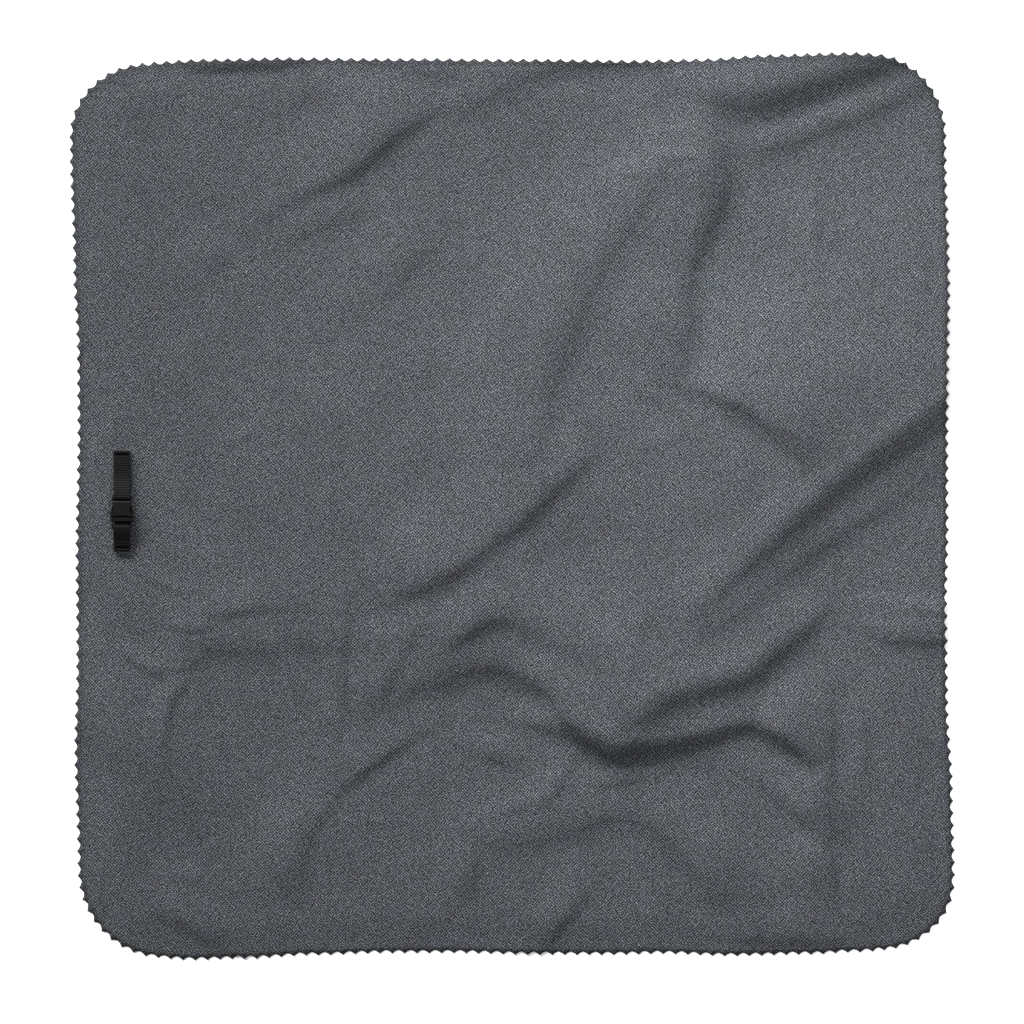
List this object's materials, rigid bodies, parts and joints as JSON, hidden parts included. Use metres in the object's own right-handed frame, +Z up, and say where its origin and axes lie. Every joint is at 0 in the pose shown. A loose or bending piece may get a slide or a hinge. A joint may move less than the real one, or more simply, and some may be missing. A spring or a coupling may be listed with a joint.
{
  "type": "travel towel",
  "caption": "Thin knitted travel towel lying out with soft folds, pinked all round, with a short buckled webbing strap sewn near one side.",
  "frame": {"origin": "middle of the cloth's outline box, on the surface that it lies on", "axes": "+Z up from the surface, +Y towards the cloth's top edge, +X away from the side with the strap"},
  "size_m": [0.7768, 0.796, 0.0111],
  "materials": {
    "cloth": "heathered slate grey knitted microfibre, matt",
    "webbing": "black woven webbing, matt",
    "buckle": "black moulded acetal, satin"
  },
  "bodies": {
    "root": {"towel_cloth": "cloth", "webbing_upper": "webbing", "webbing_lower": "webbing", "buckle_socket": "buckle", "buckle_plug": "buckle"}
  },
  "joints": []
}
